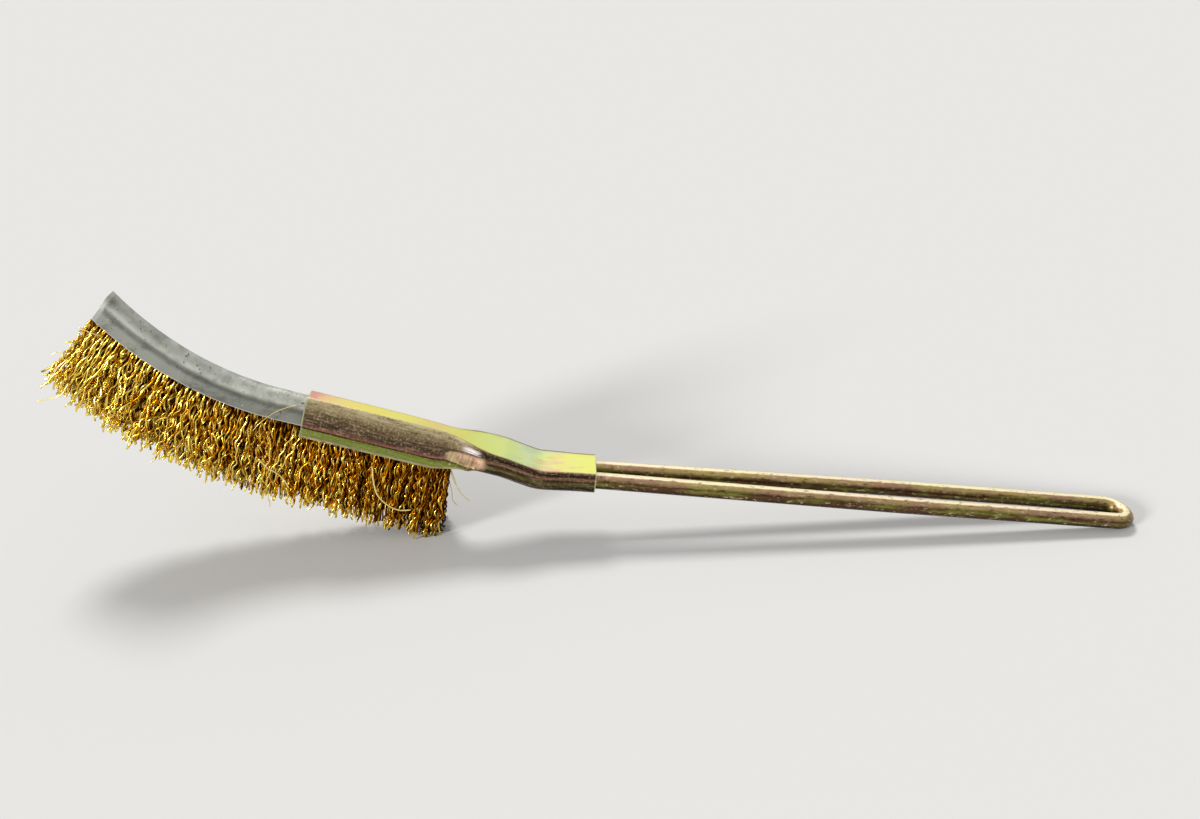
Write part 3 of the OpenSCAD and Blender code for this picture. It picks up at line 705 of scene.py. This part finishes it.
# channel: rolled sheet, round back over a waist, flared to its mouth
def makeChannel():
    size = {
        "backR": 1.75, "waistY": 1.28, "waistUp": 0.02, "slant": 1.3, "mouthY": 2.2, "sheet": 0.4,
        "waistBend": 0.18, "flare": 1.15, "inset": 0.01, "waves": (0.02, 0.015), "steps": 120,
        "brokenEdge": 0.06,
    }
    up = brush["coreUp"]
    r = size["backR"]

    def half(wall):  # from the top of the back to the mouth, on one side
        line = []
        last = math.degrees(math.acos(max(-1, (size["waistUp"] - up + 0.25) / (r - wall))))
        for k in range(19):
            a = math.radians(last * k / 18)
            line.append(((r - wall) * math.sin(a), up + (r - wall) * math.cos(a)))
        low = size["waistUp"] - size["waistBend"]
        waist = size["waistY"] + 0.02
        line.append((size["waistY"] + 0.01 - wall, size["waistUp"]))
        line.append((waist - wall, low))
        for k in range(1, 9):
            w = k / 8
            line.append((waist - wall + (size["mouthY"] - waist) * w ** size["flare"],
                         low + (-brush["mouthDrop"] - low) * w))
        return line

    def cutBack(z):  # the toe is cut on a slant, shorter at the mouth
        return size["slant"] * (up + r - z) / (up + r + brush["mouthDrop"])

    outer = half(0.0)
    inner = half(size["sheet"])
    ring = ([(-y, z) for y, z in reversed(outer[1:])] + outer
            + list(reversed(inner)) + [(-y, z) for y, z in inner[1:]])
    points = []
    random.seed(5)
    phases = [random.uniform(0, 6.28) for _ in range(2)]
    for k in range(size["steps"] + 1):
        for y, z in ring:
            s = (stripLength - cutBack(z)) * k / size["steps"]
            wave = (size["waves"][0] * math.sin(s * 0.55 + phases[0])
                    + size["waves"][1] * math.sin(s * 1.3 + phases[1]))
            points.append(onStrip(s, y * (1 - size["inset"] + wave * 0.3), z))
    faces = gridFaces(size["steps"] + 1, len(ring)) + sheetEnds((0, len(points) - len(ring)), len(ring))
    piece = meshPiece("rolled_channel", points, faces, finishes["channel"])
    heights, toes = [], []  # above the line of the wires, and how far towards the toe
    inverse = stripFrame.inverted()
    for vertex in piece.data.vertices:
        p = inverse @ (vertex.co / mm)
        height, s = p.z, -p.x
        if s > brush["straight"]:
            dx, dz = s - brush["straight"], lineR - p.z
            height = lineR - math.hypot(dx, dz)
            s = brush["straight"] + brush["curveR"] * math.atan2(dx, dz)
        heights.append(height)
        toes.append(s / (stripLength - cutBack(height)))
    for name, values in (("groove", heights), ("toe", toes)):
        piece.data.attributes.new(name, "FLOAT", "POINT").data.foreach_set("value", values)
    bevelEdges(piece, size["brokenEdge"] * mm)
    sharpen(piece, 55)
    return piece


handlePiece = makeHandle()
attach(handlePiece, "root")
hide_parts("handle_wire")
sleevePiece = makeSleeve()
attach(sleevePiece, "root")
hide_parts("clamp_sleeve")
channelPiece = makeChannel()
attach(channelPiece, "root")
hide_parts("strip_channel")
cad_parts["core_wire"].data.materials.clear()
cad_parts["core_wire"].data.materials.append(finishes["core"])
print("metal pieces made")


# bristles: crimped filaments grown by one Geometry Nodes tree
bristles = {
    "sections": 10, "bare": 1.2, "rootHalf": 1.5, "density": 10.0, "radius": 0.16, "segments": 44,
    "heelLength": 16.9, "toeLength": 14.9, "shorter": 2.4, "farShorter": 22.0, "splay": 2.3,
    "heelLean": 0.7, "toeLean": 3.2, "wave": 0.25, "waveLength": 3.0, "stray": 1.6, "reach": 4.0,
    "inside": 1.6, "seed": 20,
}


def bristleTree(inputs):
    group = bpy.data.node_groups.new("crimpedFilaments", "GeometryNodeTree")
    face = group.interface
    face.new_socket("Geometry", in_out="INPUT", socket_type="NodeSocketGeometry")
    kinds = {int: "NodeSocketInt", float: "NodeSocketFloat"}
    for name, value in inputs.items():
        kind = kinds.get(type(value), "NodeSocketMaterial")
        face.new_socket(name, in_out="INPUT", socket_type=kind).default_value = value
    face.new_socket("Geometry", in_out="OUTPUT", socket_type="NodeSocketGeometry")
    t = Tree(group)
    given = t.add("NodeGroupInput").socket.node
    take = {socket.name: Value(t, socket) for socket in given.outputs if socket.name}

    def store(geometry, name, value, kind="FLOAT"):
        return t.add("GeometryNodeStoreNamedAttribute", {"data_type": kind, "domain": "POINT"},
                     {"Geometry": geometry, "Name": name, "Value": value})

    def chance(low, high, seed):
        return t.add("FunctionNodeRandomValue", {"data_type": "FLOAT_VECTOR"},
                     {"Min": (low,) * 3, "Max": (high,) * 3, "Seed": seed})

    def read(name):
        settings = {"data_type": "FLOAT_VECTOR"}
        return t.parts(t.add("GeometryNodeInputNamedAttribute", settings, {"Name": name}))

    # roots lie on the section's own patch, whose X is s and whose Y is across
    scattered = t.add("GeometryNodeDistributePointsOnFaces", {"distribute_method": "RANDOM"},
                      {"Mesh": take["Geometry"], "Density": take["Density"], "Seed": take["Seed"]})
    stored = store(scattered, "root", t.add("GeometryNodeInputPosition"), "FLOAT_VECTOR")
    chances = [("phases", 0.0, 2 * math.pi, 3), ("shares", 0.0, 1.0, 7), ("drifts", -1.0, 1.0, 11)]
    for name, low, high, seed in chances:
        stored = store(stored, name, chance(low, high, seed), "FLOAT_VECTOR")
    line = t.add("GeometryNodeCurvePrimitiveLine", {}, {"End": (0.0, 0.0, 1.0)})
    line = t.add("GeometryNodeResampleCurve", {}, {"Curve": line, "Count": take["Segments"] + 1})
    grown = t.add("GeometryNodeInstanceOnPoints", {}, {"Points": stored, "Instance": line})
    grown = t.add("GeometryNodeRealizeInstances", {}, {"Geometry": grown})

    f = t.add("GeometryNodeSplineParameter")
    rootS, rootY, _ = read("root")
    phaseA, phaseB, _ = read("phases")
    shareA, shareB, shareC = read("shares")
    driftA, driftB, driftC = read("drifts")
    share = (rootS / stripLength).clamped()
    full = take["Heel length"] + (take["Toe length"] - take["Heel length"]) * share
    full = full - take["Shorter by"] * shareA * shareA
    full = full - (shareB - 0.6).atLeast(0) * shareC * take["Far shorter by"]  # a few of them
    near = 1 - share
    lean = take["Heel lean"] * near * near * near * near * -1
    lean = lean - take["Toe lean"] * share * share * share * share
    # drifts bend a filament off its way, the crimp makes it wavy; both start at nothing in the channel
    down = f * (full + take["Inside"]) - take["Inside"]
    below = (down / full).clamped()
    grow = below * below
    turns = down * (2 * math.pi) / (take["Wave length"] * (0.65 + 0.9 * shareB))
    loose = take["Stray"] * (0.6 + shareC * shareC * shareC * 1.6)
    wave = take["Wave"] * (0.25 + 1.2 * shareA) * (below * 6).atMost(1)
    crimp = (turns + phaseA).sin()
    s = rootS + lean * below + driftA * loose * grow + driftC * 0.8 * below + wave * crimp
    splay = 1 + (take["Splay"] - 1) * below ** 0.75
    y = rootY * splay * (1 + down.atMost(0) * 0.28) + driftB * loose * 0.6 * grow
    y = y + wave * 0.8 * (turns * 1.07 + phaseB).sin()
    y = y.atMost(take["Reach"]).atLeast(-take["Reach"])
    # the floor trims the lowest ones
    stripTilt = math.radians(brush["tilt"] + brush["stripAngle"])
    arc = ((s - brush["straight"]) / brush["curveR"]).atLeast(0)
    flat = s.atMost(brush["straight"])
    mouthX = -flat - brush["curveR"] * arc.sin()
    mouthZ = lineR - brush["curveR"] * arc.cos()
    heelHeight = (handleFrame @ Vector((brush["heelX"], 0, brush["heelZ"]))).z
    height = heelHeight - mouthX * math.sin(stripTilt) + mouthZ * math.cos(stripTilt)
    toFloor = (height - 0.15) / (arc + stripTilt).cos()
    depth = (down + driftC * 0.15).atMost(toFloor)
    reach = brush["curveR"] + depth
    x = -flat - reach * arc.sin()
    z = lineR - reach * arc.cos()
    newPlace = t.add("ShaderNodeCombineXYZ", {}, {0: x, 1: y, 2: z})
    moved = t.add("GeometryNodeSetPosition", {}, {"Geometry": grown, "Position": newPlace})

    # what the finish reads: painted shade in the depths and troughs, painted glints on the crimp's crests and
    # the tips
    inner = 1 - (rootY * rootY / 1.6).clamped()
    trough = (crimp * -1 - 0.1).atLeast(0) * (0.8 - f * 0.3)
    shade = (0.75 - below * 2.6).atLeast(0) + inner * (1.1 - below * 0.2) + trough * 1.4 - share * 0.7
    tone = shareC * 0.8 + inner * 0.4 - share * 0.6 + 0.18
    paintedGlint = (crimp * 0.5 + 0.5) ** 2 + f.between(0.92, 0.975) * 0.5 + share * 0.45
    crest = paintedGlint * (0.55 + f * 0.45)
    for name, value in (("shade", shade.clamped()), ("tone", tone.clamped()), ("crest", crest)):
        moved = store(moved, name, value)
    ring = t.add("GeometryNodeCurvePrimitiveCircle", {"mode": "RADIUS"},
                 {"Resolution": 4, "Radius": take["Radius"]})
    tube = t.add("GeometryNodeCurveToMesh", {}, {"Curve": moved, "Profile Curve": ring, "Fill Caps": True})
    tube = t.add("GeometryNodeRealizeInstances", {}, {"Geometry": tube})
    tube = t.add("GeometryNodeSetShadeSmooth", {}, {"Geometry": tube, "Shade Smooth": True})
    tube = t.add("GeometryNodeSetMaterial", {}, {"Geometry": tube, "Material": take["Finish"]})
    t.add("NodeGroupOutput", {}, {0: tube})
    return group


def makeBristles():
    b = bristles
    inputs = {"Density": b["density"], "Seed": b["seed"], "Radius": b["radius"], "Segments": b["segments"],
              "Heel length": b["heelLength"], "Toe length": b["toeLength"], "Shorter by": b["shorter"],
              "Far shorter by": b["farShorter"], "Splay": b["splay"], "Heel lean": b["heelLean"],
              "Toe lean": b["toeLean"], "Wave": b["wave"], "Wave length": b["waveLength"],
              "Stray": b["stray"], "Reach": b["reach"], "Inside": b["inside"], "Finish": finishes["brass"]}
    group = bristleTree(inputs)
    ids = {item.name: item.identifier for item in group.interface.items_tree if item.in_out == "INPUT"}
    length = (stripLength - b["bare"]) / b["sections"]
    r = b["rootHalf"]
    total = 0
    for k in range(b["sections"]):
        s0, s1 = k * length + 0.06, (k + 1) * length - 0.02
        patch = bpy.data.meshes.new("patch")
        patch.from_pydata([(s0, -r, 0), (s1, -r, 0), (s1, r, 0), (s0, r, 0)], [], [(0, 1, 2, 3)])
        base = addObject("base", patch)
        grow = base.modifiers.new("filaments", "NODES")
        grow.node_group = group
        for name, value in inputs.items():
            grow[ids[name]] = value
        grow[ids["Seed"]] = b["seed"] + k
        shown = base.evaluated_get(bpy.context.evaluated_depsgraph_get())
        mesh = bpy.data.meshes.new_from_object(shown)
        bpy.data.objects.remove(base)
        mesh.transform(stripFrame)
        mesh.transform(Matrix.Scale(mm, 4))
        mesh.name = "filaments_%02d" % (k + 1)
        piece = addObject(mesh.name, mesh)
        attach(piece, "root")
        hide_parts("bristles_%02d" % (k + 1))
        total += len(mesh.polygons)
    print("filaments made:", total, "faces")


makeBristles()


# loose filaments that stand out of the tuft
def makeLooseFilaments():
    loose = {
        "radii": [0.11, 0.07, 0.06, 0.13, 0.14, 0.08, 0.07, 0.07, 0.09, 0.12, 0.12, 0.13, 0.12, 0.10, 0.12],
        "sides": 5, "crimped": range(9, 13), "wave": 0.16, "crest": 0.7,
        # each is a row of s, across, depth below the mouth
        "paths": [
            [(58.6, -3.0, 11.5), (58.2, -3.5, 13.6), (58.5, -3.6, 15.0), (59.0, -3.6, 16.2),
             (59.6, -3.6, 17.6)],
            [(60.2, -1.2, 7.0), (61.0, -1.0, 8.6), (62.3, -1.0, 9.7), (62.6, -1.0, 11.0)],
            [(33.4, -3.3, 2.6), (32.6, -3.2, 0.8), (30.7, -2.6, -1.6), (28.6, -2.4, -3.2),
             (27.4, -2.35, -3.9)],
            [(31.6, -4.0, 7.3), (29.9, -4.35, 8.5), (28.7, -4.4, 8.9), (27.2, -4.4, 9.8), (25.9, -4.3, 11.6)],
            [(12.9, -4.1, 3.4), (12.1, -4.4, 6.2), (10.9, -4.45, 8.7), (8.8, -4.45, 10.3), (6.6, -4.45, 10.8),
             (4.7, -4.4, 10.2)],
            [(0.6, -1.0, 0.6), (-1.5, -1.0, 4.1), (-2.4, -1.0, 5.7), (-3.5, -1.0, 6.9), (-5.0, -1.0, 7.8)],
            [(0.5, 0.1, 1.0), (-0.9, 0.0, 4.1), (-1.7, 0.0, 5.4), (-3.0, 0.0, 6.9)],
            [(0.2, 0.6, 4.0), (-1.5, 0.5, 7.4), (-2.2, 0.5, 9.5), (-3.3, 0.4, 10.3)],
            [(29.4, -2.7, 12.6), (29.3, -3.2, 15.3), (28.9, -3.2, 16.2), (28.7, -3.2, 17.3)],
            [(34.7, -2.4, 0.3), (34.9, -3.2, 2.5), (35.2, -4.1, 5.7), (34.5, -4.3, 8.7), (34.7, -4.3, 11.1),
             (34.1, -4.2, 13.6)],
            [(31.2, -2.9, 2.1), (30.0, -3.9, 5.9), (30.4, -4.3, 9.1), (30.8, -4.2, 12.0)],
            [(26.8, -2.8, 1.4), (27.8, -3.7, 3.8), (28.5, -4.2, 6.6), (29.6, -4.35, 9.9), (29.6, -4.3, 13.2)],
            [(25.9, -2.8, 1.6), (26.4, -3.6, 3.9), (27.7, -4.2, 7.5), (28.7, -4.2, 11.4)],
            [(60.0, -1.8, 1.2), (61.3, -2.5, 1.6), (62.1, -2.5, 2.0), (63.0, -2.5, 2.4)],
            [(60.8, -2.9, 8.0), (60.9, -3.2, 10.0), (60.6, -3.3, 12.0), (60.8, -3.4, 13.6)],
        ],
    }
    n = loose["sides"]
    points = []
    faces = []
    paintedSheen = []
    for number, (path, radius) in enumerate(zip(loose["paths"], loose["radii"])):
        crimped = number in loose["crimped"]
        line = [onStrip(s, y, -brush["mouthDrop"] - d) for s, y, d in path]
        smooth = []  # a curve through the row's places
        for i in range(len(line) - 1):
            p0, p1 = line[max(i - 1, 0)], line[i]
            p2, p3 = line[i + 1], line[min(i + 2, len(line) - 1)]
            for k in range(6):
                u = k / 6
                smooth.append(0.5 * ((2 * p1) + (p2 - p0) * u + (2 * p0 - 5 * p1 + 4 * p2 - p3) * u * u
                                     + (3 * p1 - p0 - 3 * p2 + p3) * u ** 3))
        smooth.append(line[-1])
        if crimped:
            sideways = stripFrame.to_3x3() @ Vector((loose["wave"], 0, 0))
            smooth = [p + sideways * math.sin(k * 1.25 + number) for k, p in enumerate(smooth)]
        first = len(points)
        rings = len(smooth)
        for k, p in enumerate(smooth):
            way = (smooth[min(k + 1, rings - 1)] - smooth[max(k - 1, 0)]).normalized()
            side = way.cross(Vector((0.1, 1, 0.2))).normalized()
            top = side.cross(way)
            for j in range(n):
                a = 2 * math.pi * j / n
                points.append(p + radius * (side * math.cos(a) + top * math.sin(a)))
        # the smooth loose filaments get more of the painted sheen than the crimped ones
        paintedSheen += [0.2 if crimped else 1.0] * rings * n
        faces += [tuple(first + i for i in f) for f in gridFaces(rings, n)]
        faces.append(tuple(first + j for j in range(n)))
        faces.append(tuple(first + (rings - 1) * n + j for j in range(n)))
    piece = meshPiece("loose_filaments", points, faces, finishes["brass"])
    # crest and bare paint glints and a pale sheen on the loose filaments
    for name, values in (("crest", [loose["crest"]] * len(points)), ("bare", paintedSheen)):
        piece.data.attributes.new(name, "FLOAT", "POINT").data.foreach_set("value", values)
    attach(piece, "root")


makeLooseFilaments()
print("loose filaments made")


# floor, light and camera
def makeStage():
    room = {
        "half": 4.0, "floor": "d4d3d0", "sky": 0.48, "horizon": 0.20, "skyTint": (0.98, 0.98, 1.0, 1),
        "suns": [("key", (-0.18, 0.50, 0.85), 1.9, 16),  # each has a place, a strength and a spread
                 ("glint", (-0.80, -0.52, 0.30), 3.0, 12)],
    }
    view = {  # solved from the photograph, with the eye's place worked out from the handle's loop
        "lens": 27.0, "sensor": 36.0, "eye": (brush["loopX"] - 102.458, -137.95, 98.51),
        "pan": -2.372, "down": 28.160, "roll": 0.732, "near": 0.005, "far": 20.0,
    }
    h = room["half"]
    mesh = bpy.data.meshes.new("floor")
    mesh.from_pydata([(-h, -h, 0), (h, -h, 0), (h, h, 0), (-h, h, 0)], [], [(0, 1, 2, 3)])
    plain = {"Base Color": rgb(room["floor"]), "Roughness": 0.9, "Specular IOR Level": 0.0}
    mesh.materials.append(newFinish("paleFloor", plain)[0])
    floor = addObject("floor", mesh)

    for name, place, strength, spread in room["suns"]:
        data = bpy.data.lights.new(name, "SUN")
        data.energy = strength
        data.angle = math.radians(spread)
        light = addObject(name, data)
        light.rotation_mode = "QUATERNION"
        light.rotation_quaternion = (-Vector(place)).to_track_quat("-Z", "Y")

    world = bpy.data.worlds.new("studio")
    world.use_nodes = True
    t = Tree(world.node_tree)
    _, _, height = t.parts(t.add("ShaderNodeTexCoord", out="Generated"))
    level = room["horizon"] + (room["sky"] - room["horizon"]) * height.between(-0.05, 0.75)
    back = world.node_tree.nodes["Background"]
    back.inputs["Color"].default_value = room["skyTint"]
    t.feed(level, back, "Strength")
    bpy.context.scene.world = world

    camera = addObject("camera", bpy.data.cameras.new("camera"))
    camera.data.lens = view["lens"]
    camera.data.sensor_width = view["sensor"]
    camera.data.clip_start = view["near"]
    camera.data.clip_end = view["far"]
    turn = (Matrix.Rotation(math.radians(view["pan"]), 4, "Z")
            @ Matrix.Rotation(math.radians(90 - view["down"]), 4, "X")
            @ Matrix.Rotation(math.radians(view["roll"]), 4, "Z"))
    camera.matrix_world = Matrix.Translation(Vector(view["eye"]) * mm) @ turn
    bpy.context.scene.camera = camera
    bpy.context.scene.view_settings.view_transform = "Standard"


makeStage()
print("stage made")
